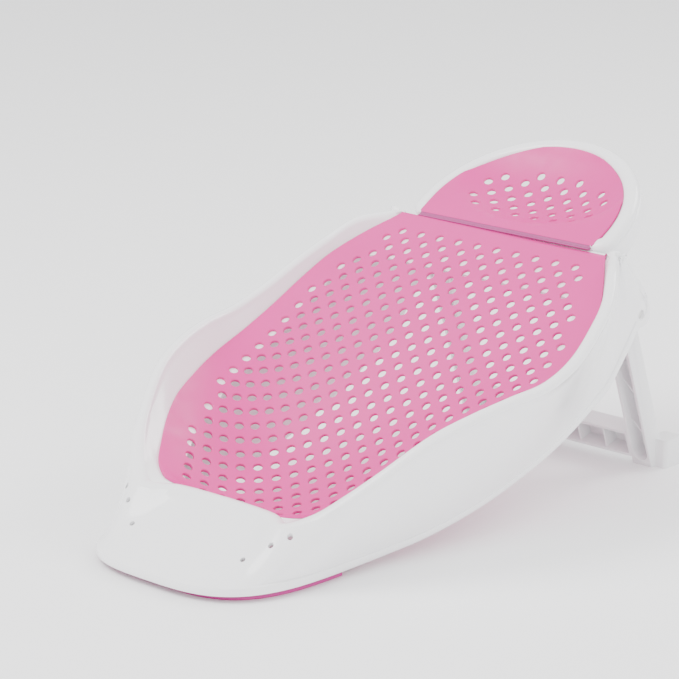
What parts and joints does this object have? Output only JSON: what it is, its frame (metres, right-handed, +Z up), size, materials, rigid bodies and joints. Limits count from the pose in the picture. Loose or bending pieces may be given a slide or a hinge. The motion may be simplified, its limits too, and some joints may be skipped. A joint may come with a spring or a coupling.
{
  "type": "baby bath support",
  "caption": "Reclined baby bath seat: moulded boat-shaped shell with perforated soft liner, folding headrest and fold-under rear stand.",
  "frame": {"origin": "centre of the footprint box on the floor", "axes": "+X to the occupant's left-hand side of the tub, +Y from the foot end to the head end, +Z up"},
  "size_m": [0.3524, 0.533, 0.2681],
  "materials": {
    "white_shell": "glossy injection-moulded white polypropylene",
    "white_stand": "satin injection-moulded white polypropylene",
    "pink_liner": "satin moulded orchid-pink thermoplastic elastomer",
    "hinge_rubber": "satin moulded thermoplastic elastomer",
    "grip_rubber": "matte moulded magenta thermoplastic elastomer",
    "pin_plastic": "plain moulded acetal pin"
  },
  "bodies": {
    "tub": {"main_shell": "white_shell", "seat_liner": "pink_liner", "front_grip_strip": "grip_rubber"},
    "headrest": {"headrest_shell": "white_shell", "headrest_liner": "pink_liner", "neck_hinge_web": "hinge_rubber"},
    "stand": {"stand_frame": "white_stand", "stand_pivot_pin_left": "pin_plastic", "stand_pivot_pin_right": "pin_plastic"}
  },
  "joints": [
    {"name": "headrest_fold", "type": "hinge", "parent": "tub", "child": "headrest", "pos_m": [0, 0.1515, 0.2066], "axis": [1, 0, 0], "range_deg": [0, 150]},
    {"name": "stand_fold", "type": "hinge", "parent": "tub", "child": "stand", "pos_m": [0, 0.1885, 0.147], "axis": [-1, 0, 0], "range_deg": [0, 78]}
  ]
}
